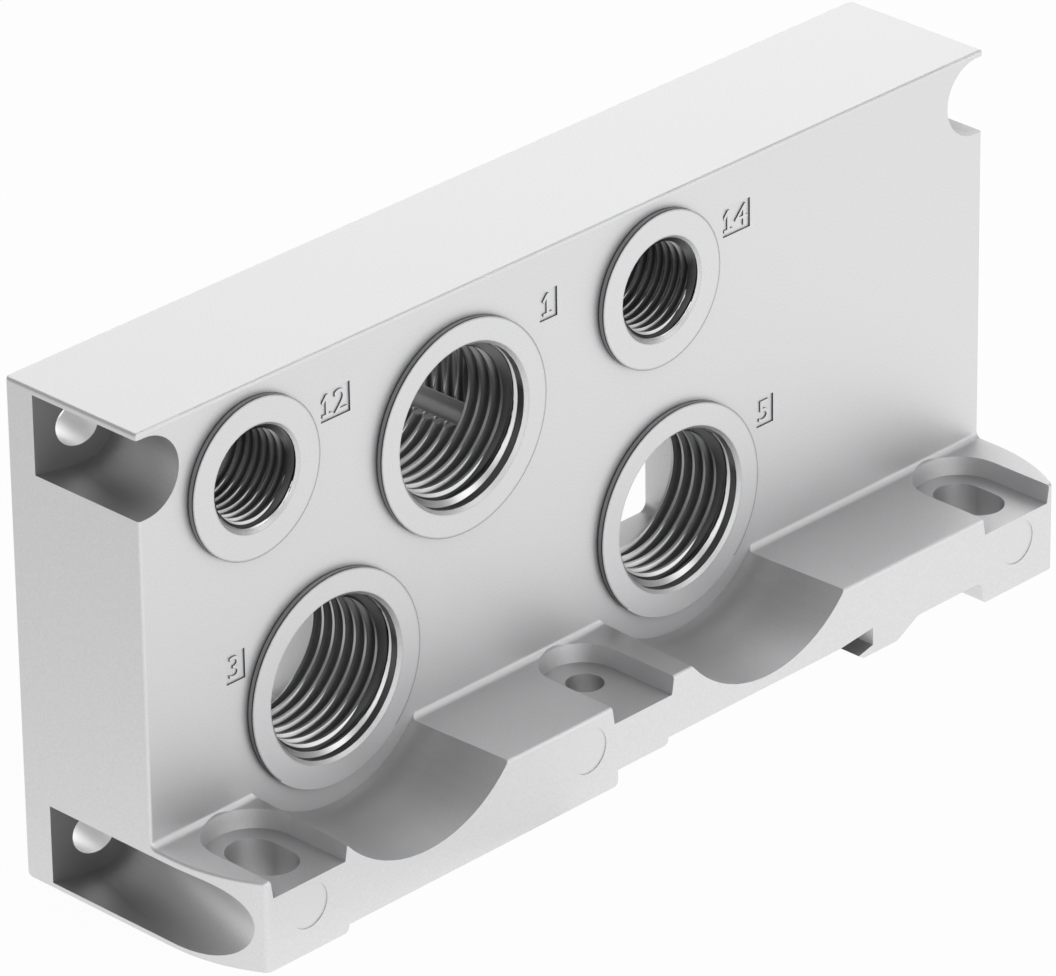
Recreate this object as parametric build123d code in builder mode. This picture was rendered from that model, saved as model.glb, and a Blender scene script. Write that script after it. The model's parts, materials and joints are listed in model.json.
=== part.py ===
import os
from math import cos, radians, sin, sqrt, tan

from build123d import *

os.makedirs("parts", exist_ok=True)

# Axes: X along the plate, ports face -Y, mating face at +Y, feet on Z = 0

# Block and port flange
length = 145.0
height = 66.0
block_thickness = 22.3
flange_reach = 15.7
flange_height = 12.0
end_curve_radius = 24.0
end_curve_start = 3.2
flange_corner = 1.0
root_fillet = 0.8
rear_corner = 1.0
heel_corner = 1.4
edge_break = 0.4

depth = block_thickness + flange_reach
half = length / 2
y_back = depth / 2
y_face = y_back - block_thickness
y_flange = -depth / 2

# Edges are picked by position within this much on either side
pick_margin = 0.01

# Ports: G 1/2 for supply and exhaust, G 1/4 for the pilots
port_major = 20.955
port_mouth = 21.8
port_boss = 27.8
pilot_major = 13.157
pilot_core = 11.445
pilot_mouth = 13.8
pilot_boss = 20.5
boss_rise = 0.9
supply_x = -20.6
supply_z = 48.0
pilot_pitch = 34.0
pilot_z = 54.05
exhaust_x = -42.6
exhaust_pitch = 59.1
exhaust_z = 23.0
supply_thread = 16.2
exhaust_3_thread = 12.9
exhaust_5_thread = 10.2
pilot_thread = 14.0
pilot_drill = 17.0
pilot_duct = 6.0
drill_angle = 118.0

port_1 = (supply_x, supply_z)
port_12 = (supply_x - pilot_pitch, pilot_z)
port_14 = (supply_x + pilot_pitch, pilot_z)
port_3 = (exhaust_x, exhaust_z)
port_5 = (exhaust_x + exhaust_pitch, exhaust_z)

# Galleries, open on the mating face, each measured from its port's axis
gallery_corner = 1.3
supply_gallery_right = 9.8
supply_gallery_floor = -6.1
supply_gallery_width = 20.0
supply_gallery_height = 15.0
supply_gallery_front = 8.8
exhaust_gallery_floor = -15.0
exhaust_gallery_width = 24.0
exhaust_gallery_height = 19.0
exhaust_3_gallery_right = 9.4
exhaust_5_gallery_right = 18.0

# Scallops in the flange, round the exhaust ports
scallop_radius = 17.0
scallop_draft = 1.8

# Recesses and fixing holes in the flange
recess_depth = 2.4
recess_draft = 9.0
recess_back = 0.1
end_recess_inset = 10.4
end_recess_width = 12.5
middle_recess_x = -5.8
middle_recess_width = 10.8
slot_width = 6.6
slot_travel = 3.3
slot_back = 7.75
rail_screw_hole = 4.8
rail_screw_back = 5.9

# Corner screws, leaning outward to the front
screw_lean = 15.0
screw_inset = 7.15
screw_from_top = 6.0
screw_from_foot = 5.8
screw_hole = 5.6
screw_land = 6.6
head_pocket = 10.4

# Underside: end feet, inner foot, rail recess with its hook, hook foot
foot_length = 16.6
foot_corner = 0.7
inner_lift = 1.0
inner_foot_right = -10.3
relief_lift = 3.1
rail_left = -1.5
rail_lift = 4.0
hook_mouth = 29.4
hook_root = 35.4
hook_root_rise = 0.6
hook_shelf = 2.2
hook_lip = 2.6
hook_lip_drop = 0.6
hook_lip_face = 0.9
hook_foot_right = 39.9
hook_slope = 3.9
slope_corner = 1.4

# Marks of the ejector pins on the front of the flange
pin_mark = 6.0
pin_mark_depth = 0.1
pin_mark_rise = 6.3
pin_mark_inset = 10.2
middle_pin_rise = 7.7
middle_pin_from_relief = 5.0

# Port number fields, each measured from its port's axis
field_depth = 0.2
field_height = 3.9
field_single = 3.0
field_double = 4.8
field_12 = (13.7, 4.55)
field_14 = (14.1, 4.45)
field_1 = (15.3, 10.55)
field_3 = (-15.5, 7.4)
field_5 = (16.1, 7.4)

face_plane = Plane.XZ.offset(-y_face)
boss_plane = Plane.XZ.offset(boss_rise - y_face)
mating_plane = Plane.XZ.offset(-y_back)
flange_front_plane = Plane.XZ.offset(-y_flange)
flange_plane = Plane.XY.offset(flange_height)


def shifted(centre, offset):
    return (centre[0] + offset[0], centre[1] + offset[1])


def corner_near(sketch, x, y):
    return sketch.vertices().sort_by_distance((x, y))[0]


with BuildPart() as end_plate:
    # Front view with the underside's outline, through the whole depth
    with BuildSketch(Plane.XZ) as front_view:
        with BuildLine():
            Polyline(
                (-half, height),
                (-half, 0),
                (foot_length - half, 0),
                (foot_length - half, inner_lift),
                (inner_foot_right, inner_lift),
                (inner_foot_right, relief_lift),
                (rail_left, relief_lift),
                (rail_left, rail_lift),
                (hook_mouth, rail_lift),
                (hook_root, rail_lift + hook_root_rise),
                (hook_root, hook_shelf),
                (hook_root - hook_lip, hook_shelf - hook_lip_drop),
                (hook_root - hook_lip + hook_lip_face, inner_lift),
                (hook_foot_right, inner_lift),
                (hook_foot_right + hook_slope, relief_lift),
                (half - foot_length, relief_lift),
                (half - foot_length, 0),
                (half, 0),
                (half, height),
                close=True,
            )
        make_face()
        fillet(corner_near(front_view, foot_length - half, 0), foot_corner)
        fillet(corner_near(front_view, inner_foot_right, inner_lift), foot_corner)
        fillet(corner_near(front_view, rail_left, relief_lift), foot_corner)
        fillet(corner_near(front_view, hook_foot_right, inner_lift), slope_corner)
        fillet(corner_near(front_view, hook_foot_right + hook_slope, relief_lift), slope_corner)
        fillet(corner_near(front_view, half - foot_length, relief_lift), slope_corner)
        fillet(corner_near(front_view, half - foot_length, 0), foot_corner)
    extrude(amount=y_back, both=True)

    # Step between the port face and the flange
    with BuildSketch(Plane.YZ):
        with Locations((y_face, flange_height)):
            Rectangle(2 * flange_reach, 2 * height, align=(Align.MAX, Align.MIN))
    extrude(amount=length, both=True, mode=Mode.SUBTRACT)
    root_edge = (
        end_plate.edges()
        .filter_by(Axis.X)
        .filter_by_position(Axis.Y, y_face - pick_margin, y_face + pick_margin)
        .sort_by(Axis.Z)[0]
    )
    fillet(root_edge, root_fillet)

    # Plan view: the flange ends curve inward to the front
    curve_reach = flange_reach - end_curve_start
    curve_inset = end_curve_radius - sqrt(end_curve_radius**2 - curve_reach**2)
    with BuildSketch(Plane.XY) as plan_view:
        with BuildLine():
            rear = Polyline(
                (-half, y_face - end_curve_start),
                (-half, y_back),
                (half, y_back),
                (half, y_face - end_curve_start),
            )
            RadiusArc(rear @ 1, (half - curve_inset, y_flange), end_curve_radius)
            Line((half - curve_inset, y_flange), (curve_inset - half, y_flange))
            RadiusArc((curve_inset - half, y_flange), rear @ 0, end_curve_radius)
        make_face()
        for side in (-1, 1):
            fillet(corner_near(plan_view, side * (half - curve_inset), y_flange), flange_corner)
            fillet(corner_near(plan_view, side * half, y_back), rear_corner)
    extrude(amount=height, mode=Mode.INTERSECT)

    # Rounded outer edges: the front uprights run on round the flange's top edge
    uprights = end_plate.edges().filter_by(Axis.Z)
    uprights = uprights.filter_by_position(Axis.Y, y_face - pick_margin, y_face + pick_margin)
    fillet(uprights, edge_break)
    with BuildSketch(Plane.YZ):
        with Locations((y_back, 0)):
            Rectangle(heel_corner, heel_corner, align=(Align.MAX, Align.MIN))
        with Locations((y_back - heel_corner, heel_corner)):
            Circle(heel_corner, mode=Mode.SUBTRACT)
    extrude(amount=length, both=True, mode=Mode.SUBTRACT)
    top_edges = end_plate.faces().sort_by(Axis.Z)[-1].edges()
    fillet(top_edges.filter_by(Axis.X).sort_by(Axis.Y)[0], edge_break)

    # Scallops clear the fittings of the exhaust ports
    scallop_front = scallop_radius + flange_reach * tan(radians(scallop_draft))
    for centre in (port_3, port_5):
        with BuildSketch(Plane.YZ.offset(centre[0])):
            with BuildLine():
                Polyline(
                    (y_face, centre[1]),
                    (y_face, centre[1] + scallop_radius),
                    (y_flange, centre[1] + scallop_front),
                    (y_flange, centre[1]),
                    close=True,
                )
            make_face()
        revolve(axis=Axis((centre[0], 0, centre[1]), (0, 1, 0)), mode=Mode.SUBTRACT)

    # Recesses for the fixing screws, open to the front
    for x, width in (
        (end_recess_inset - half, end_recess_width),
        (middle_recess_x, middle_recess_width),
        (half - end_recess_inset, end_recess_width),
    ):
        with BuildSketch(flange_plane) as recess:
            with Locations((x, y_face - recess_back - width / 2)):
                Circle(width / 2)
                Rectangle(width, 2 * flange_reach, align=(Align.CENTER, Align.MAX))
        extrude(recess.sketch, amount=root_fillet, mode=Mode.SUBTRACT)
        extrude(amount=-recess_depth, taper=recess_draft, mode=Mode.SUBTRACT)

    with BuildSketch(Plane.XY):
        with Locations(
            (end_recess_inset - half, y_face - slot_back),
            (half - end_recess_inset, y_face - slot_back),
        ):
            SlotCenterToCenter(slot_travel, slot_width, rotation=90)
        with Locations((middle_recess_x, y_face - rail_screw_back)):
            Circle(rail_screw_hole / 2)
    extrude(amount=flange_height, mode=Mode.SUBTRACT)

    # Raised bosses and threaded bores of the five ports
    with BuildSketch(face_plane):
        with Locations(port_1, port_3, port_5):
            Circle(port_boss / 2)
        with Locations(port_12, port_14):
            Circle(pilot_boss / 2)
    extrude(amount=boss_rise)

    for centre, major, mouth, thread in (
        (port_1, port_major, port_mouth, supply_thread),
        (port_3, port_major, port_mouth, exhaust_3_thread),
        (port_5, port_major, port_mouth, exhaust_5_thread),
        (port_12, pilot_major, pilot_mouth, pilot_thread),
        (port_14, pilot_major, pilot_mouth, pilot_thread),
    ):
        with BuildSketch(boss_plane):
            with Locations(centre):
                Circle(major / 2)
        extrude(amount=-boss_rise - thread, mode=Mode.SUBTRACT)
        y_boss = y_face - boss_rise
        rim = (
            end_plate.edges()
            .filter_by(GeomType.CIRCLE)
            .filter_by_position(Axis.Y, y_boss - pick_margin, y_boss + pick_margin)
            .sort_by_distance((centre[0], y_boss, centre[1]))[0]
        )
        chamfer(rim, (mouth - major) / 2)

    # Pilot drillings end in a drill point and meet a duct from the mating face
    drill_point = pilot_core / 2 / tan(radians(drill_angle / 2))
    for centre in (port_12, port_14):
        with BuildSketch(Plane.YZ.offset(centre[0])):
            with BuildLine():
                Polyline(
                    (y_face, centre[1]),
                    (y_face, centre[1] + pilot_core / 2),
                    (y_face + pilot_drill, centre[1] + pilot_core / 2),
                    (y_face + pilot_drill + drill_point, centre[1]),
                    close=True,
                )
            make_face()
        revolve(axis=Axis((centre[0], 0, centre[1]), (0, 1, 0)), mode=Mode.SUBTRACT)
    with BuildSketch(mating_plane):
        with Locations(port_12, port_14):
            Circle(pilot_duct / 2)
    extrude(amount=block_thickness - pilot_drill, mode=Mode.SUBTRACT)

    # Galleries
    for centre, right, floor, width, tall, front in (
        (
            port_1,
            supply_gallery_right,
            supply_gallery_floor,
            supply_gallery_width,
            supply_gallery_height,
            supply_gallery_front,
        ),
        (
            port_3,
            exhaust_3_gallery_right,
            exhaust_gallery_floor,
            exhaust_gallery_width,
            exhaust_gallery_height,
            exhaust_3_thread,
        ),
        (
            port_5,
            exhaust_5_gallery_right,
            exhaust_gallery_floor,
            exhaust_gallery_width,
            exhaust_gallery_height,
            exhaust_5_thread,
        ),
    ):
        with BuildSketch(mating_plane):
            with Locations(shifted(centre, (right - width / 2, floor + tall / 2))):
                RectangleRounded(width, tall, gallery_corner)
        extrude(amount=block_thickness - front, mode=Mode.SUBTRACT)

    # Corner screws: through hole, seat and a head pocket open to the end face
    lean = radians(screw_lean)
    for side in (-1, 1):
        for z in (screw_from_foot, height - screw_from_top):
            screw_plane = Plane(
                origin=(side * (half - screw_inset), y_back, z),
                x_dir=(side * cos(lean), sin(lean), 0),
                z_dir=(side * sin(lean), -cos(lean), 0),
            )
            with BuildSketch(screw_plane):
                Circle(screw_hole / 2)
            extrude(amount=2 * screw_land, both=True, mode=Mode.SUBTRACT)
            with BuildSketch(screw_plane.offset(screw_land)):
                Circle(head_pocket / 2)
                Rectangle(2 * screw_inset, head_pocket, align=(Align.MIN, Align.CENTER))
            extrude(amount=depth + flange_reach, mode=Mode.SUBTRACT)

    # Marks of the ejector pins
    with BuildSketch(flange_front_plane):
        with Locations(
            (pin_mark_inset - half, pin_mark_rise),
            (inner_foot_right - middle_pin_from_relief, middle_pin_rise),
            (half - pin_mark_inset, pin_mark_rise),
        ):
            Circle(pin_mark / 2)
    extrude(amount=-pin_mark_depth, mode=Mode.SUBTRACT)

    # Fields for the port numbers
    with BuildSketch(face_plane):
        with Locations(shifted(port_12, field_12), shifted(port_14, field_14)):
            Rectangle(field_double, field_height)
        with Locations(
            shifted(port_1, field_1), shifted(port_3, field_3), shifted(port_5, field_5)
        ):
            Rectangle(field_single, field_height)
    extrude(amount=-field_depth, mode=Mode.SUBTRACT)

end_plate.part.label = "end_plate"
export_step(end_plate.part, "parts/end_plate.step")

size = end_plate.part.bounding_box().size
print("size", round(size.X, 2), round(size.Y, 2), round(size.Z, 2))
print("volume", round(end_plate.part.volume, 1), "solids", len(end_plate.part.solids()))
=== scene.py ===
import json
import math

import bmesh
import bpy
from mathutils import Matrix, Vector


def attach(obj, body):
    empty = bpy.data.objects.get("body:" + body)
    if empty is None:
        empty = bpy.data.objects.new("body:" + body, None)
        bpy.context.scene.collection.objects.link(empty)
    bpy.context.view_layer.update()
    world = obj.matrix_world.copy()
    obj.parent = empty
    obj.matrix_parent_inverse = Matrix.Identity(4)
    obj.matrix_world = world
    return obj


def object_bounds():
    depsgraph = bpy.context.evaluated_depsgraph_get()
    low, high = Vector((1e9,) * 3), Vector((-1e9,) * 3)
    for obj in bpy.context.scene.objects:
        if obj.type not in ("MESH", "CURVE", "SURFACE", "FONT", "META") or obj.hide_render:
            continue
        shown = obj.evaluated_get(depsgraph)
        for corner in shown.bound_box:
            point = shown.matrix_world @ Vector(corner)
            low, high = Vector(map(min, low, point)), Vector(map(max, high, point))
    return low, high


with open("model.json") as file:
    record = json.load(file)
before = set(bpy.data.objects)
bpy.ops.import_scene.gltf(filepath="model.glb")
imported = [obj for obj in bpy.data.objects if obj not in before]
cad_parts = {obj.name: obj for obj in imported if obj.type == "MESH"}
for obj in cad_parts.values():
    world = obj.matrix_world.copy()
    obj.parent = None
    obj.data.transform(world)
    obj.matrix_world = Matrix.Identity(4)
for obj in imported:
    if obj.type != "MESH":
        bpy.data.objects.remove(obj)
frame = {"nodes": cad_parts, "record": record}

mm = 0.001
weld = 0.001 * mm    # points nearer than this are one
touch = 0.01 * mm    # and nearer than this to a surface they lie on it
cadLow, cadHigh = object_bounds()
plate = frame["nodes"]["end_plate"]
mounts = {mount["name"]: mount for mount in frame["record"]["mounts"]}
openings = {gap["name"]: gap["box_m"] for gap in frame["record"]["physics"]["openings"]}
print("frame loaded:", len(plate.data.polygons), "triangles")


# Colours and nodes


def colour(hexCode):
    channels = [int(hexCode[i:i + 2], 16) / 255 for i in (1, 3, 5)]
    linear = [c / 12.92 if c <= 0.04045 else ((c + 0.055) / 1.055) ** 2.4 for c in channels]
    return (*linear, 1.0)


# an input is a plain value, a socket, or a node whose first output is meant
def addNode(tree, kind, settings=None, inputs=None):
    node = tree.nodes.new(kind)
    for name, value in (settings or {}).items():
        setattr(node, name, value)
    for name, value in (inputs or {}).items():
        if isinstance(value, bpy.types.Node):
            value = value.outputs[0]
        if isinstance(value, bpy.types.NodeSocket):
            tree.links.new(value, node.inputs[name])
        else:
            node.inputs[name].default_value = value
    return node


def newMaterial(name):
    material = bpy.data.materials.new(name)
    material.use_nodes = True
    material.node_tree.nodes.clear()
    return material, material.node_tree


# a mask that is 1 where all the conditions hold and 0 elsewhere; each is an operation and its values
def whereAll(tree, *conditions):
    mask = None
    for operation, *values in conditions:
        holds = addNode(tree, "ShaderNodeMath", {"operation": operation}, dict(enumerate(values)))
        if mask:
            holds = addNode(tree, "ShaderNodeMath", {"operation": "MULTIPLY"}, {0: mask, 1: holds})
        mask = holds
    return mask


mixUnder, mixOver, mixResult = 6, 7, 2   # the Mix node's colour sockets; several share each name


# a metal painted in layers over its first colour, each as much as its mask says
def finishMetal(tree, firstColour, layers, roughness, extras=None):
    painted = colour(firstColour)
    for mask, hexCode in layers:
        mix = addNode(tree, "ShaderNodeMix", {"data_type": "RGBA"},
                      {"Factor": mask, mixUnder: painted, mixOver: colour(hexCode)})
        painted = mix.outputs[mixResult]
    shader = addNode(tree, "ShaderNodeBsdfPrincipled", inputs={
        "Base Color": painted, "Metallic": 1.0, "Roughness": roughness, **(extras or {})})
    addNode(tree, "ShaderNodeOutputMaterial", inputs={"Surface": shader})


# satin aluminium, blasted after casting: even pale grey with a fine grain, and darker painted shade in
# deep pockets, in corners that face up and on the low walls of the bosses and number fields
blasted = {
    "base": "#f2f2f3",
    "grainDip": "#dadadb",     # the little hollows of the grain, a shade under the base
    # painted shade where little of the sky is seen: deep pockets, and corners, more where they face up
    "skin": "#a0a0a1",
    # painted shade on the low walls of the bosses and number fields: the dark along their edges, and a mid
    # grey for their paler band and for the line round each boss's face
    "paintedHalfShade": "#909091",
    "paintedWallShade": "#4a4a4b",
    "roughness": 0.5,
    "grain": 0.22,             # mm, coarser than the real grit's dents so that it shows
    "grainHeight": 0.012,      # mm
    "grainDetail": 3.0,
    "grainRoughness": 0.6,
    "grainStrength": 0.5,
    "pocket": 30.0,            # mm, how near the walls stand of what gets the painted shade
    "pocketShare": (0.06, 0.6),   # of the open sky, where the painted shade turns to blasted metal
    "pocketSamples": 2,
    "shelfShade": 0.32,             # less of the sky for what faces up, for more painted shade in its corners
    "rim": 0.32,               # mm, how near an edge of a boss's face turns dark with painted shade
    "rimShare": (0.62, 0.86),  # of the metal under it, from the edge inwards
    "rimSamples": 4,
    "sideways": 0.5,           # a face with less of its normal along Y is a wall
}

# where the low walls of the bosses and number fields stand, in mm
lowWalls = {
    "halfWidth": 65.5,       # across from the middle
    "bottom": 13.0,          # up from the floor
    "blockThickness": 22.3,  # from the back to the port face
    "bossRise": 0.9,         # out of the port face
    "fieldDepth": 0.2,       # into the port face
    "palerBand": 0.24,       # half the height of the paler band of painted highlight along a boss's wall
    "flat": 0.02,            # how flat a boss's face lies
}
portFaceY = cadHigh.y - lowWalls["blockThickness"] * mm
fieldY = portFaceY + lowWalls["fieldDepth"] * mm

# the corner screws' lands at the bottom of their leaning pockets, painted with the darkest shade, and
# their drilled holes, bright from the drilled finish and from painted light, in mm
screwPockets = {
    "lean": 15.0,         # degrees, outward to the front
    "inset": 7.15,        # of the axis from the end, at the back
    "land": 6.6,          # from the back to the land
    "flat": 0.1,          # how flat the land lies
    "innermost": 58.0,    # across from the middle
    "outermost": 70.3,    # for the holes
    "edge": 1.0,          # at the plate's top and bottom, which no hole reaches
    # painted shade: the darkest, on the lands
    "skin": "#8c8c8d",
    # the drilled holes: a machined finish, made brighter with painted light
    "drilled": "#ffffff",
}


# painted shade on the walls between the port face and its bosses and number fields: dark along their edges
# with a paler band of painted highlight between, and a thin painted dark line round each boss's face
def lowWallShadeLayers(tree, at, facingY):
    bossY = portFaceY - lowWalls["bossRise"] * mm
    plateFront = (("COMPARE", at.outputs["X"], 0.0, lowWalls["halfWidth"] * mm),
                  ("GREATER_THAN", at.outputs["Z"], lowWalls["bottom"] * mm))
    wall = (*plateFront, ("COMPARE", facingY, 0.0, blasted["sideways"]),
            ("COMPARE", at.outputs["Y"], (bossY + fieldY) / 2, (fieldY - bossY) / 2))
    paintedPaleBand = (*wall, ("COMPARE", at.outputs["Y"], (bossY + portFaceY) / 2, lowWalls["palerBand"] * mm))
    bossFace = (*plateFront, ("COMPARE", at.outputs["Y"], bossY, lowWalls["flat"] * mm))

    # a painted dark line along the edges of each boss's face
    metalUnder = addNode(tree, "ShaderNodeAmbientOcclusion",
                         {"samples": blasted["rimSamples"], "inside": True, "only_local": True},
                         {"Distance": blasted["rim"] * mm})
    edge, inner = blasted["rimShare"]
    nearEdge = addNode(tree, "ShaderNodeMapRange", {"interpolation_type": "SMOOTHSTEP"},
                       {"Value": metalUnder.outputs["AO"], "From Min": edge, "From Max": inner,
                        "To Min": 1.0, "To Max": 0.0})
    rim = addNode(tree, "ShaderNodeMath", {"operation": "MULTIPLY"},
                  {0: whereAll(tree, *bossFace), 1: nearEdge})
    return [(rim, blasted["paintedHalfShade"]),
            (whereAll(tree, *wall), blasted["paintedWallShade"]),
            (whereAll(tree, *paintedPaleBand), blasted["paintedHalfShade"])]


def screwPocketShadeAndLightLayers(tree, at, facingY):
    lean = math.radians(screwPockets["lean"])
    axisX = cadHigh.x - screwPockets["inset"] * mm
    land, flat = screwPockets["land"] * mm, screwPockets["flat"] * mm
    across = addNode(tree, "ShaderNodeMath", {"operation": "ABSOLUTE"}, {0: at.outputs["X"]})
    # along the screw's axis, which leans outward, from the back to the front
    outward = addNode(tree, "ShaderNodeMath", {"operation": "MULTIPLY_ADD"},
                      {0: across, 1: math.sin(lean),
                       2: cadHigh.y * math.cos(lean) - axisX * math.sin(lean)})
    along = addNode(tree, "ShaderNodeMath", {"operation": "MULTIPLY_ADD"},
                    {0: at.outputs["Y"], 1: -math.cos(lean), 2: outward})

    atEnd = ("GREATER_THAN", across, screwPockets["innermost"] * mm)
    landFace = (atEnd, ("COMPARE", along, land, flat), ("LESS_THAN", facingY, -blasted["sideways"]))
    hole = (atEnd, ("LESS_THAN", across, screwPockets["outermost"] * mm),
            ("LESS_THAN", along, land - flat),
            ("COMPARE", facingY, 0.0, blasted["sideways"]),
            ("COMPARE", at.outputs["Z"], cadHigh.z / 2, cadHigh.z / 2 - screwPockets["edge"] * mm))
    # painted shade on the lands, and painted light on the drilled holes
    return [(whereAll(tree, *landFace), screwPockets["skin"]),
            (whereAll(tree, *hole), screwPockets["drilled"])]


def blastedAluminium():
    material, tree = newMaterial("blastedAluminiumPaintedShade")
    place = addNode(tree, "ShaderNodeTexCoord").outputs["Object"]
    at = addNode(tree, "ShaderNodeSeparateXYZ", inputs={"Vector": place})
    normal = addNode(tree, "ShaderNodeNewGeometry").outputs["True Normal"]
    facing = addNode(tree, "ShaderNodeSeparateXYZ", inputs={"Vector": normal})
    grain = addNode(tree, "ShaderNodeTexNoise", inputs={
        "Vector": place, "Scale": 1 / (blasted["grain"] * mm),
        "Detail": blasted["grainDetail"], "Roughness": blasted["grainRoughness"]})
    bump = addNode(tree, "ShaderNodeBump", inputs={
        "Height": grain.outputs["Fac"], "Distance": blasted["grainHeight"] * mm,
        "Strength": blasted["grainStrength"]})

    # painted shade: darker where a point sees little of the open sky, and more so where it faces up
    sky = addNode(tree, "ShaderNodeAmbientOcclusion",
                  {"samples": blasted["pocketSamples"], "only_local": True},
                  {"Distance": blasted["pocket"] * mm})
    upward = addNode(tree, "ShaderNodeMath", {"operation": "MAXIMUM"}, {0: facing.outputs["Z"], 1: 0.0})
    shadedSky = addNode(tree, "ShaderNodeMath", {"operation": "MULTIPLY_ADD"},
                     {0: upward, 1: -blasted["shelfShade"], 2: sky.outputs["AO"]})
    covered, clear = blasted["pocketShare"]
    pocketShade = addNode(tree, "ShaderNodeMapRange", {"interpolation_type": "SMOOTHSTEP"},
                       {"Value": shadedSky, "From Min": covered, "From Max": clear,
                        "To Min": 1.0, "To Max": 0.0})

    layers = [(grain.outputs["Fac"], blasted["base"]),
              # the skin colour here is painted shade in the pockets and corners
              (pocketShade, blasted["skin"]),
              *lowWallShadeLayers(tree, at, facing.outputs["Y"]),
              *screwPocketShadeAndLightLayers(tree, at, facing.outputs["Y"])]
    finishMetal(tree, blasted["grainDip"], layers, blasted["roughness"], {"Normal": bump})
    return material


# machined aluminium in the tapped bores, light and shade painted in: dull and dark as painted shade, with
# a painted highlight wedge along the crests of the flanks that face up, and a painted highlight countersink
tapped = {
    # painted highlight on the wedge along the crests and on the countersink
    "paintedHighlight": "#d9d9d9",
    # painted shade: the dark first colour of the flanks, under the other painted layers
    "crest": "#464647",
    "root": "#aaaaab",            # painted light: paler toward the roots, for the little light down there
    "overheadLight": "#b4b4b5",        # painted light on what faces down
    "firstTurn": "#2c2c2d",       # painted shade: darker, for the full light it gets
    # painted shade on the counterbore, and painted light on what faces down there
    "counterbore": "#7c7c7d",
    "counterboreOverheadLight": "#fafafa",
    "roughness": 0.34,
    "overheadFrom": (-0.4, -0.08),   # the normal's Z, from all the overhead painted light to none
    "firstTurnShare": 0.9,
    "firstTurnOverhead": 0.25,    # less of that share on what faces down
    "wedgeFrom": 0.33,            # the normal's Z where the painted highlight wedge starts
    "wedgeGrowth": 3.0,           # how fast it then reaches down, in shares of the thread's depth
    "wedgeDeepest": 0.42,         # of the thread's depth
    "wedgeEdge": 0.1,             # of the thread's depth
    "countersinkUnder": -0.5,     # threadDepth under which it is a countersink, with painted highlight all round
    "counterboreOver": 1.5,       # and over which it is the counterbore
}

# aluminium left as drilled on the crests: a plain mid grey band along each turn, its grey partly the
# drilled finish and partly painted shade of the bore
drilled = {
    "base": "#bcbcbd",
    "roughness": 0.34,
}


def tappedAluminium():
    material, tree = newMaterial("tappedThreadPaintedLightAndShade")
    depth = addNode(tree, "ShaderNodeAttribute", {"attribute_name": "threadDepth"}).outputs["Fac"]
    firstTurn = addNode(tree, "ShaderNodeAttribute", {"attribute_name": "threadMouth"}).outputs["Fac"]
    normal = addNode(tree, "ShaderNodeNewGeometry").outputs["True Normal"]
    facing = addNode(tree, "ShaderNodeSeparateXYZ", inputs={"Vector": normal})
    # painted light on what faces down
    facesDown, facesAcross = tapped["overheadFrom"]
    overheadLight = addNode(tree, "ShaderNodeMapRange", {"interpolation_type": "SMOOTHSTEP"},
                       {"Value": facing.outputs["Z"], "From Min": facesDown, "From Max": facesAcross,
                        "To Min": 1.0, "To Max": 0.0})
    # painted shade on the first turn, a little less on what faces down
    share = addNode(tree, "ShaderNodeMath", {"operation": "MULTIPLY_ADD"},
                    {0: overheadLight, 1: -tapped["firstTurnOverhead"], 2: tapped["firstTurnShare"]})
    mouthShade = addNode(tree, "ShaderNodeMath", {"operation": "MULTIPLY"}, {0: firstTurn, 1: share})
    # painted shade on the counterbore and painted light on what faces down in it
    onCounterbore = whereAll(tree, ("GREATER_THAN", depth, tapped["counterboreOver"]))
    counterboreOverheadLight = addNode(tree, "ShaderNodeMath", {"operation": "MULTIPLY"},
                                  {0: onCounterbore, 1: overheadLight})

    # the painted highlight wedge: from the crest it reaches further down the flanks the more they face up
    growth = tapped["wedgeGrowth"]
    reach = addNode(tree, "ShaderNodeMath", {"operation": "MULTIPLY_ADD"},
                    {0: facing.outputs["Z"], 1: growth, 2: -growth * tapped["wedgeFrom"]})
    limit = addNode(tree, "ShaderNodeMath", {"operation": "MINIMUM"},
                    {0: reach, 1: tapped["wedgeDeepest"]})
    within = addNode(tree, "ShaderNodeMath", {"operation": "SUBTRACT"}, {0: limit, 1: depth})
    wedge = addNode(tree, "ShaderNodeMapRange", {"interpolation_type": "SMOOTHSTEP"},
                    {"Value": within, "From Min": -tapped["wedgeEdge"] / 2,
                     "From Max": tapped["wedgeEdge"] / 2})
    # and painted highlight all round the countersink
    onCountersink = whereAll(tree, ("LESS_THAN", depth, tapped["countersinkUnder"]))
    paintedHighlight = addNode(tree, "ShaderNodeMath", {"operation": "MAXIMUM"}, {0: wedge, 1: onCountersink})

    # painted light and shade in layers: paler roots, light on what faces down, shade on the first turn,
    # shade and light on the counterbore, highlights on top
    layers = ((depth, tapped["root"]),
              (overheadLight, tapped["overheadLight"]),
              (mouthShade, tapped["firstTurn"]),
              (onCounterbore, tapped["counterbore"]),
              (counterboreOverheadLight, tapped["counterboreOverheadLight"]),
              (paintedHighlight, tapped["paintedHighlight"]))
    finishMetal(tree, tapped["crest"], layers, tapped["roughness"])
    return material


def drilledAluminium():
    material, tree = newMaterial("drilledAluminium")
    finishMetal(tree, drilled["base"], (), drilled["roughness"])
    return material


plate.data.materials.clear()
blastedSkin = blastedAluminium()
plate.data.materials.append(blastedSkin)
print("casting blasted")


# Whitworth pipe threads of the ports, cut with a tap and countersunk at the mouth. Two attributes carry
# their painted light and shade: threadMouth is 1 on the first turn, and threadDepth runs from 0 on the
# crests to 1 on the roots, with values beyond that for the countersink and the counterbore

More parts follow.
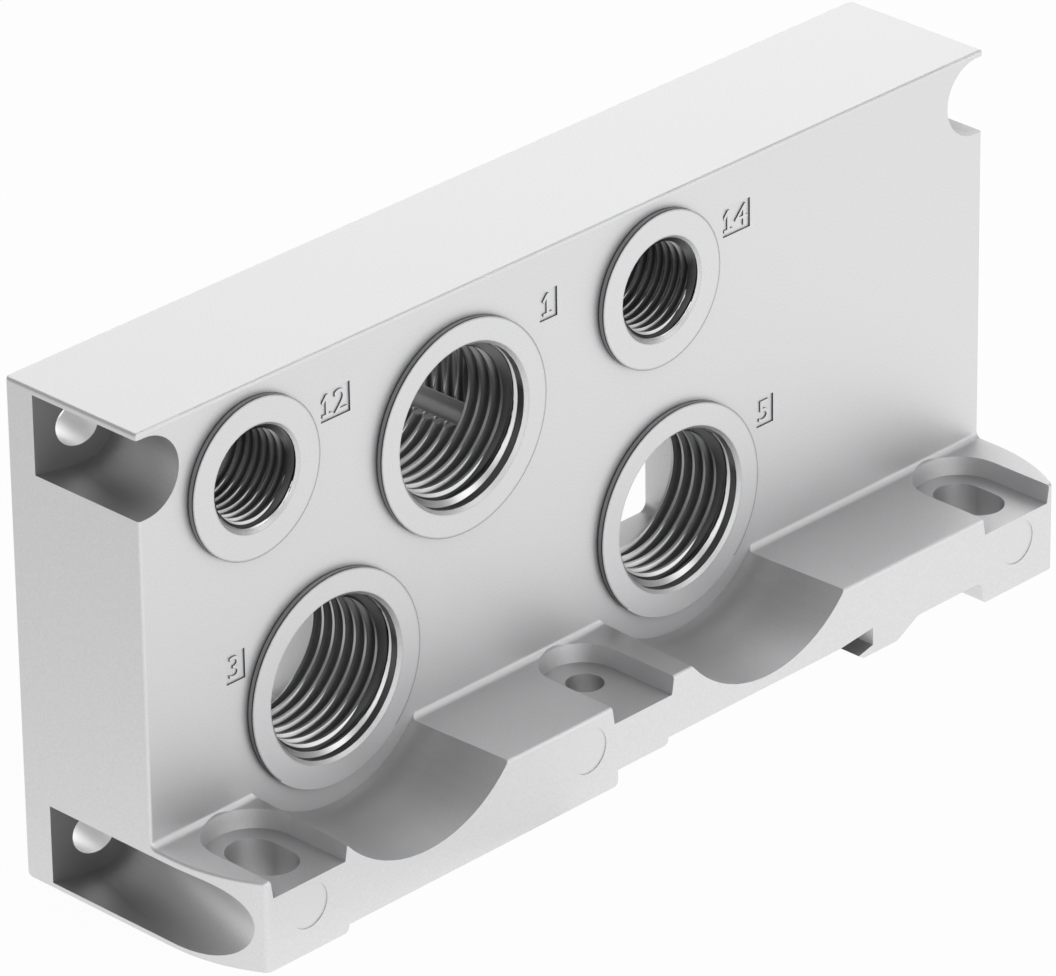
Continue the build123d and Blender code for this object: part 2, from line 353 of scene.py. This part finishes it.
thread = {
    "around": 160,           # steps in one turn
    "arcSteps": 4,           # on each rounded root
    "flankSteps": 5,         # on each flank, for the colour to turn from crest to root
    "spareTurns": 2,         # past both ends, cut off again
    "flankAngle": 27.5,      # degrees, half the thread's angle
    "height": 0.640327,      # of the pitch
    "rounding": 0.1373,      # of the pitch
    "crestFlat": 0.2,        # of the pitch, left by the drill before the tap
    "mouth": 0.4,            # of the pitch, how far past the countersink the first turn's painted shade goes
    "highlightRing": 0.4,       # mm, how far into the countersink the painted highlight reaches
    "skin": 0.03,            # mm between the thread's root and the bore's wall
    "coneSteps": 8,          # cuts across the countersink
    "smoothAngle": 40,       # degrees
    "cutSlack": 0.0001,      # mm, how near to a cut a point counts as on it
    "counterboreMark": 3.0,  # threadDepth
}

# pitch, plain counterbore and first crest's depth at the right-hand side, all from the mouth's
# chamfer, in mm; sinkMark is the countersink's threadDepth, -1.0 where it gets the painted highlight
# all round and -0.1 where only what faces up does
tappings = {
    "port_1": {"pitch": 1.814, "counterbore": 1.07, "crest": 0.8, "sinkMark": -1.0},
    "port_3": {"pitch": 1.814, "counterbore": 1.0, "crest": 0.61, "sinkMark": -1.0},
    "port_5": {"pitch": 1.814, "counterbore": 1.07, "crest": 0.76, "sinkMark": -1.0},
    "port_12": {"pitch": 1.337, "counterbore": 0.0, "crest": 0.82, "sinkMark": -0.1},
    "port_14": {"pitch": 1.337, "counterbore": 0.0, "crest": 0.76, "sinkMark": -0.1},
}
galleryMargin = Vector((0.5, 0.1, 0.5)) * mm   # the record's boxes stand this far inside the walls


# one pitch from the crest on: steps into the bore and out from the theoretical crest
def threadProfile(pitch):
    flank = math.radians(thread["flankAngle"])
    rounding = thread["rounding"] * pitch
    height = thread["height"] * pitch
    root = []
    for step in range(thread["arcSteps"] + 1):
        turn = (math.pi / 2 - flank) * (2 * step / thread["arcSteps"] - 1)
        root.append((pitch / 2 + rounding * math.sin(turn), height - rounding * (1 - math.cos(turn))))
    halfFlat = thread["crestFlat"] * pitch / 2
    crestOut = height / 2 - (pitch / 4 - halfFlat) / math.tan(flank)
    flankAlong, flankOut = root[0][0] - halfFlat, root[0][1] - crestOut
    down = []
    for step in range(thread["flankSteps"]):
        share = step / thread["flankSteps"]
        down.append((halfFlat + flankAlong * share, crestOut + flankOut * share))
    up = [(pitch - along, out) for along, out in reversed(down)]
    return [*down, *root, *up]


# the corners of the gallery that a port's thread runs into, if it does
def galleryBehind(name, threadEnd, pitch):
    box = openings.get(name.replace("port", "gallery"))
    if not box:
        return None
    low, high = Vector(box[0]) - galleryMargin, Vector(box[1]) + galleryMargin
    return (low, high) if low.y < threadEnd - pitch else None


# where a port's thread lies, from its mount: along Y, and out from the port's axis
def readPort(name):
    mount, tapping = mounts[name], tappings[name]
    centre, major = Vector(mount["pos_m"]), mount["dims"]["r_mm"] * mm
    halfLength = mount["dims"]["length_mm"] * mm / 2
    start, end = centre.y - halfLength, centre.y + halfLength
    pitch = tapping["pitch"] * mm
    root = major - thread["skin"] * mm
    minor = root - thread["height"] * pitch
    coneStart = start + tapping["counterbore"] * mm
    return {
        "centre": centre,
        "pitch": pitch,
        "start": start,
        "end": end,
        "firstCrest": start + tapping["crest"] * mm,
        "coneStart": coneStart,
        "coneEnd": coneStart + root - minor,
        "major": major,
        "root": root,
        "minor": minor,
        "crest": minor + threadProfile(pitch)[0][1],
        "sinkMark": tapping["sinkMark"],
        "gallery": galleryBehind(name, end, pitch),
    }


def screwSurface(port):
    bm = bmesh.new()
    centre, minor, pitch = port["centre"], port["minor"], port["pitch"]
    profile = threadProfile(pitch)
    start = port["firstCrest"] - thread["spareTurns"] * pitch
    end = port["end"] + thread["spareTurns"] * pitch
    last = None
    for turn in range(math.ceil((end - start) / pitch)):
        for along, out in profile:
            vert = bm.verts.new((centre.x + minor + out, start + turn * pitch + along, centre.z))
            if last:
                bm.edges.new((last, vert))
            last = vert
    bmesh.ops.spin(bm, geom=bm.verts[:] + bm.edges[:], cent=centre, axis=(0, -1, 0),
                   dvec=(0, -pitch / thread["around"], 0), angle=2 * math.pi,
                   steps=thread["around"], use_merge=False)
    bmesh.ops.remove_doubles(bm, verts=bm.verts[:], dist=weld)
    return bm


def cutAt(bm, place, normal, clear=False):
    bmesh.ops.bisect_plane(bm, geom=bm.verts[:] + bm.edges[:] + bm.faces[:], dist=thread["cutSlack"] * mm,
                           plane_co=place, plane_no=normal, clear_outer=clear)


# a point's direction from the port's axis, across and up, and its distance
def fromAxis(port, point):
    across, up = point.x - port["centre"].x, point.z - port["centre"].z
    radius = math.hypot(across, up)
    return across / radius, up / radius, radius


def setRadius(port, vert, wanted):
    across, up, radius = fromAxis(port, vert.co)
    vert.co.x = port["centre"].x + across * wanted
    vert.co.z = port["centre"].z + up * wanted


# from the port's axis to the gallery's wall
def wallDistance(port, across, up):
    low, high = port["gallery"]
    reach = []
    if across:
        reach.append(((high.x if across > 0 else low.x) - port["centre"].x) / across)
    if up:
        reach.append(((high.z if up > 0 else low.z) - port["centre"].z) / up)
    return min(reach)


# gives the plain thread its counterbore, its countersink and the gallery's walls
def shapeThread(bm, port):
    depth = bm.verts.layers.float.new("threadDepth")
    mouth = bm.verts.layers.float.new("threadMouth")
    coneStart, crest, root = port["coneStart"], port["crest"], port["root"]
    mouthEnd = port["coneEnd"] + thread["mouth"] * port["pitch"]
    for vert in bm.verts:
        across, up, radius = fromAxis(port, vert.co)
        countersink = min(root, root - (vert.co.y - coneStart))
        wanted = max(radius, countersink)
        # the first turn, for its painted shade
        vert[mouth] = 1.0 if vert.co.y < mouthEnd else 0.0
        vert[depth] = (radius - crest) / (root - crest)
        # a ring of painted highlight along the countersink's outer edge
        if countersink >= radius and root - countersink < thread["highlightRing"] * mm:
            vert[depth] = port["sinkMark"]
        if vert.co.y < coneStart - weld:
            vert[depth] = thread["counterboreMark"]
        if vert.co.y < port["start"] + weld:
            wanted = port["major"]
        if port["gallery"] and vert.co.y > port["gallery"][0].y + weld:
            wanted = max(wanted, min(wallDistance(port, across, up), port["major"]))
        setRadius(port, vert, wanted)


# takes away the thread where the gallery is wider than the bore
def openIntoGallery(bm, port):
    over = []
    for face in bm.faces:
        middle = face.calc_center_median()
        across, up, radius = fromAxis(port, middle)
        if middle.y > port["gallery"][0].y and wallDistance(port, across, up) > port["major"]:
            over.append(face)
    bmesh.ops.delete(bm, geom=over, context="FACES")


# a flat ring from the thread's inner end out to the bore's wall
def closeEnd(bm, port):
    rim = [edge for edge in bm.edges if edge.is_boundary
           and all(vert.co.y > port["end"] - touch for vert in edge.verts)]
    ring = bmesh.ops.extrude_edge_only(bm, edges=rim)
    for item in ring["geom"]:
        if isinstance(item, bmesh.types.BMVert):
            setRadius(port, item, port["major"])


def faceTheAxis(bm, port):
    bmesh.ops.recalc_face_normals(bm, faces=bm.faces[:])
    inward = 0.0
    for face in bm.faces:
        middle = face.calc_center_median()
        inward += face.normal.dot(Vector((port["centre"].x, middle.y, port["centre"].z)) - middle)
    if inward < 0:
        bmesh.ops.reverse_faces(bm, faces=bm.faces[:])


def makeThread(name):
    port = readPort(name)
    bm = screwSurface(port)
    cutAt(bm, (0, port["start"], 0), (0, -1, 0), clear=True)
    cutAt(bm, (0, port["end"], 0), (0, 1, 0), clear=True)
    coneDepth = port["root"] - port["minor"]
    for step in range(thread["coneSteps"] + 1):
        cutAt(bm, (0, port["coneStart"] + coneDepth * step / thread["coneSteps"], 0), (0, 1, 0))
    if port["gallery"]:
        cutAt(bm, (0, port["gallery"][0].y, 0), (0, 1, 0))
        for corner in port["gallery"]:
            cutAt(bm, corner, (0, 0, 1))
            cutAt(bm, corner, (1, 0, 0))
    shapeThread(bm, port)
    if port["gallery"]:
        openIntoGallery(bm, port)
    closeEnd(bm, port)
    faceTheAxis(bm, port)
    for face in bm.faces:
        if max(fromAxis(port, vert.co)[2] for vert in face.verts) < port["crest"] + touch:
            face.material_index = crestSlot
    mesh = bpy.data.meshes.new(name + "_thread")
    bm.to_mesh(mesh)
    bm.free()
    mesh.shade_smooth()
    mesh.set_sharp_from_angle(angle=math.radians(thread["smoothAngle"]))
    for material in threadMaterials:
        mesh.materials.append(material)
    piece = bpy.data.objects.new(name + "_thread", mesh)
    bpy.context.scene.collection.objects.link(piece)
    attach(piece, "root")
    print(piece.name, len(mesh.polygons), "faces")


threadMaterials = (tappedAluminium(), drilledAluminium())
crestSlot = 1   # the drilled one of these
for portName in tappings:
    makeThread(portName)


# Port numbers, raised in their fields

numerals = {
    "height": 2.9,     # mm
    "depth": 0.16,     # mm above the field's floor
    "gap": 0.42,       # mm between two digits
    "wide": 1.15,      # the round digits are this much wider than the plain typeface
    "curveSteps": 4,
    "weld": 1e-5,      # of the height
}

# the one with its flag and foot, as its outline in shares of its height
oneOutline = ((-0.27, 0.0), (0.27, 0.0), (0.27, 0.13), (0.075, 0.13), (0.075, 1.0), (-0.04, 1.0),
              (-0.31, 0.68), (-0.22, 0.58), (-0.075, 0.76), (-0.075, 0.13), (-0.27, 0.13))

# text, its port and the field's centre from the port's axis, in mm
numberFields = (
    ("12", "port_12", 13.6, 4.55),
    ("14", "port_14", 14.0, 4.45),
    ("1", "port_1", 15.2, 10.55),
    ("3", "port_3", -15.6, 7.4),
    ("5", "port_5", 16.0, 7.4),
)


# a flat digit, one unit high, from its lower left corner
def flatDigit(digit):
    bm = bmesh.new()
    if digit == "1":
        bm.faces.new([bm.verts.new((*point, 0)) for point in oneOutline])
        wide = 1.0
    else:
        curve = bpy.data.curves.new("digit", "FONT")
        curve.body = digit
        curve.resolution_u = numerals["curveSteps"]
        carrier = bpy.data.objects.new("digit", curve)
        bpy.context.scene.collection.objects.link(carrier)
        bpy.context.view_layer.update()
        graph = bpy.context.evaluated_depsgraph_get()
        outline = bpy.data.meshes.new_from_object(carrier.evaluated_get(graph))
        bpy.data.objects.remove(carrier)
        bm.from_mesh(outline)
        bmesh.ops.remove_doubles(bm, verts=bm.verts[:], dist=numerals["weld"])
        wide = numerals["wide"]
    left = min(vert.co.x for vert in bm.verts)
    low, high = min(vert.co.y for vert in bm.verts), max(vert.co.y for vert in bm.verts)
    bmesh.ops.translate(bm, verts=bm.verts[:], vec=(-left, -low, 0))
    bmesh.ops.scale(bm, verts=bm.verts[:], vec=(wide / (high - low), 1 / (high - low), 1))
    return bm


# made flat and one unit high, then raised, scaled and stood up against the port face
def makeNumeral(text, port, across, up):
    whole = bmesh.new()
    mesh = bpy.data.meshes.new("number_" + text)
    right = 0.0
    for digit in text:
        bm = flatDigit(digit)
        bmesh.ops.translate(bm, verts=bm.verts[:], vec=(right, 0, 0))
        right = max(vert.co.x for vert in bm.verts) + numerals["gap"] / numerals["height"]
        bm.to_mesh(mesh)
        bm.free()
        whole.from_mesh(mesh)
    middle = (max(vert.co.x for vert in whole.verts) + min(vert.co.x for vert in whole.verts)) / 2
    bmesh.ops.translate(whole, verts=whole.verts[:], vec=(-middle, -1 / 2, 0))
    raised = bmesh.ops.extrude_face_region(whole, geom=whole.faces[:], use_keep_orig=True)
    top = [item for item in raised["geom"] if isinstance(item, bmesh.types.BMVert)]
    bmesh.ops.translate(whole, verts=top, vec=(0, 0, numerals["depth"] / numerals["height"]))
    bmesh.ops.scale(whole, verts=whole.verts[:], vec=Vector((1, 1, 1)) * numerals["height"] * mm)
    bmesh.ops.rotate(whole, verts=whole.verts[:], cent=(0, 0, 0),
                     matrix=Matrix.Rotation(math.pi / 2, 3, "X"))
    centre = mounts[port]["pos_m"]
    bmesh.ops.translate(whole, verts=whole.verts[:],
                        vec=(centre[0] + across * mm, fieldY, centre[2] + up * mm))
    bmesh.ops.recalc_face_normals(whole, faces=whole.faces[:])
    whole.to_mesh(mesh)
    whole.free()
    mesh.materials.clear()
    mesh.materials.append(blastedSkin)
    piece = bpy.data.objects.new("number_" + text, mesh)
    bpy.context.scene.collection.objects.link(piece)
    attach(piece, "root")


for numberField in numberFields:
    makeNumeral(*numberField)
print("numbers raised")


# Studio

studio = {
    "world": "#a7a7a7",
    "white": "#ffffff",
    "floor": "#f0f0f0",
    "floorSize": 3.0,      # metres
    "floorShare": 0.96,    # of the floor's white that the camera sees whatever falls on it
    "floorGlowInMetal": 0.97,     # the same for the metal, to the right and the front: a painted glow that only its reflections see
    "floorShadeInMetal": 0.55,      # and to the left and behind, dimmer as painted shade in the metal's reflections
    "floorForward": (0.707, -0.707, 0.0),   # to the right and the front
    "floorBlend": (-0.16, -0.03),  # metres that way, where it turns from dim to full
}


# pale paper: white to the camera but for the object's shadow, and a soft bright field in the metal, a
# painted reflection that glows without a lamp and is dimmed to the left and behind as painted shade
def palePaper():
    material, tree = newMaterial("palePaperFloor")
    path = addNode(tree, "ShaderNodeLightPath")
    place = addNode(tree, "ShaderNodeTexCoord").outputs["Object"]
    forward = addNode(tree, "ShaderNodeVectorMath", {"operation": "DOT_PRODUCT"},
                      {0: place, 1: studio["floorForward"]})
    # painted glow for the metal's reflections, dimmer to the left and behind as painted shade
    blendFrom, blendTo = studio["floorBlend"]
    glow = addNode(tree, "ShaderNodeMapRange", {"interpolation_type": "SMOOTHSTEP"},
                   {"Value": forward.outputs["Value"], "From Min": blendFrom, "From Max": blendTo,
                    "To Min": studio["floorShadeInMetal"], "To Max": studio["floorGlowInMetal"]})
    forMetal = addNode(tree, "ShaderNodeMath", {"operation": "MULTIPLY"},
                       {0: path.outputs["Is Glossy Ray"], 1: glow})
    share = addNode(tree, "ShaderNodeMath", {"operation": "MULTIPLY_ADD"},
                    {0: path.outputs["Is Camera Ray"], 1: studio["floorShare"], 2: forMetal})
    lit = addNode(tree, "ShaderNodeBsdfDiffuse", inputs={"Color": colour(studio["floor"])})
    white = addNode(tree, "ShaderNodeEmission", inputs={"Color": colour(studio["white"]), "Strength": 1.0})
    seen = addNode(tree, "ShaderNodeMixShader", inputs={0: share, 1: lit, 2: white})
    addNode(tree, "ShaderNodeOutputMaterial", inputs={"Surface": seen})
    return material


def makeFloor():
    bm = bmesh.new()
    bmesh.ops.create_grid(bm, x_segments=1, y_segments=1, size=studio["floorSize"] / 2)
    mesh = bpy.data.meshes.new("floor")
    bm.to_mesh(mesh)
    bm.free()
    mesh.materials.append(palePaper())
    floor = bpy.data.objects.new("floor", mesh)
    floor.location.z = cadLow.z
    bpy.context.scene.collection.objects.link(floor)


# grey for the light, white for the camera
def makeWorld():
    world = bpy.data.worlds.new("studio")
    world.use_nodes = True
    tree = world.node_tree
    tree.nodes.clear()
    path = addNode(tree, "ShaderNodeLightPath")
    lit = addNode(tree, "ShaderNodeBackground", inputs={"Color": colour(studio["world"]), "Strength": 1.0})
    white = addNode(tree, "ShaderNodeBackground",
                    inputs={"Color": colour(studio["white"]), "Strength": 1.0})
    seen = addNode(tree, "ShaderNodeMixShader", inputs={0: path.outputs["Is Camera Ray"], 1: lit, 2: white})
    addNode(tree, "ShaderNodeOutputWorld", inputs={"Surface": seen})
    bpy.context.scene.world = world


# place and aim in metres, size in metres, glow in the shader's own units where 1 is white
softboxes = {
    "keyBox": {"place": (0.35, -0.45, 0.85), "aim": (0, 0, 0.03), "size": (0.6, 0.6), "glow": 1.55},
    "backBox": {"place": (0.8, 0.8, 0.55), "aim": (0, 0, 0.06), "size": (1.2, 0.8), "glow": 1.2},
    "cameraBox": {"place": (-0.45, -0.88, 0.36), "aim": (0, 0, 0.04), "size": (0.9, 0.75), "glow": 1.0},
    "frontBox": {"place": (0.33, -0.95, 0.2), "aim": (0, 0, 0.04), "size": (1.25, 0.34), "glow": 1.35},
}


def makeSoftbox(name, box):
    light = bpy.data.lights.new(name, "AREA")
    light.shape = "RECTANGLE"
    light.size, light.size_y = box["size"]
    light.energy = box["glow"] * math.pi * light.size * light.size_y   # watts for that glow
    lamp = bpy.data.objects.new(name, light)
    lamp.location = box["place"]
    lamp.rotation_euler = (Vector(box["aim"]) - Vector(box["place"])).to_track_quat("-Z", "Y").to_euler()
    lamp.visible_camera = False
    bpy.context.scene.collection.objects.link(lamp)


makeFloor()
makeWorld()
for boxName, box in softboxes.items():
    makeSoftbox(boxName, box)
print("studio lit")

cameraSetup = {
    "place": (-0.64733, -0.63340, 0.49733),   # metres
    "turn": (62.8475, 0.6697, -45.7791),      # degrees
    "lens": 286.6,                            # mm
    "sensor": 36.0,                           # mm across
    "shift": (-0.00872, -0.01434),
}


def makeCamera():
    data = bpy.data.cameras.new("camera")
    data.sensor_width = cameraSetup["sensor"]
    data.lens = cameraSetup["lens"]
    data.shift_x, data.shift_y = cameraSetup["shift"]
    camera = bpy.data.objects.new("camera", data)
    camera.location = cameraSetup["place"]
    camera.rotation_euler = [math.radians(angle) for angle in cameraSetup["turn"]]
    bpy.context.scene.collection.objects.link(camera)
    bpy.context.scene.camera = camera


makeCamera()
bpy.context.scene.view_settings.view_transform = "Standard"
print("camera placed")
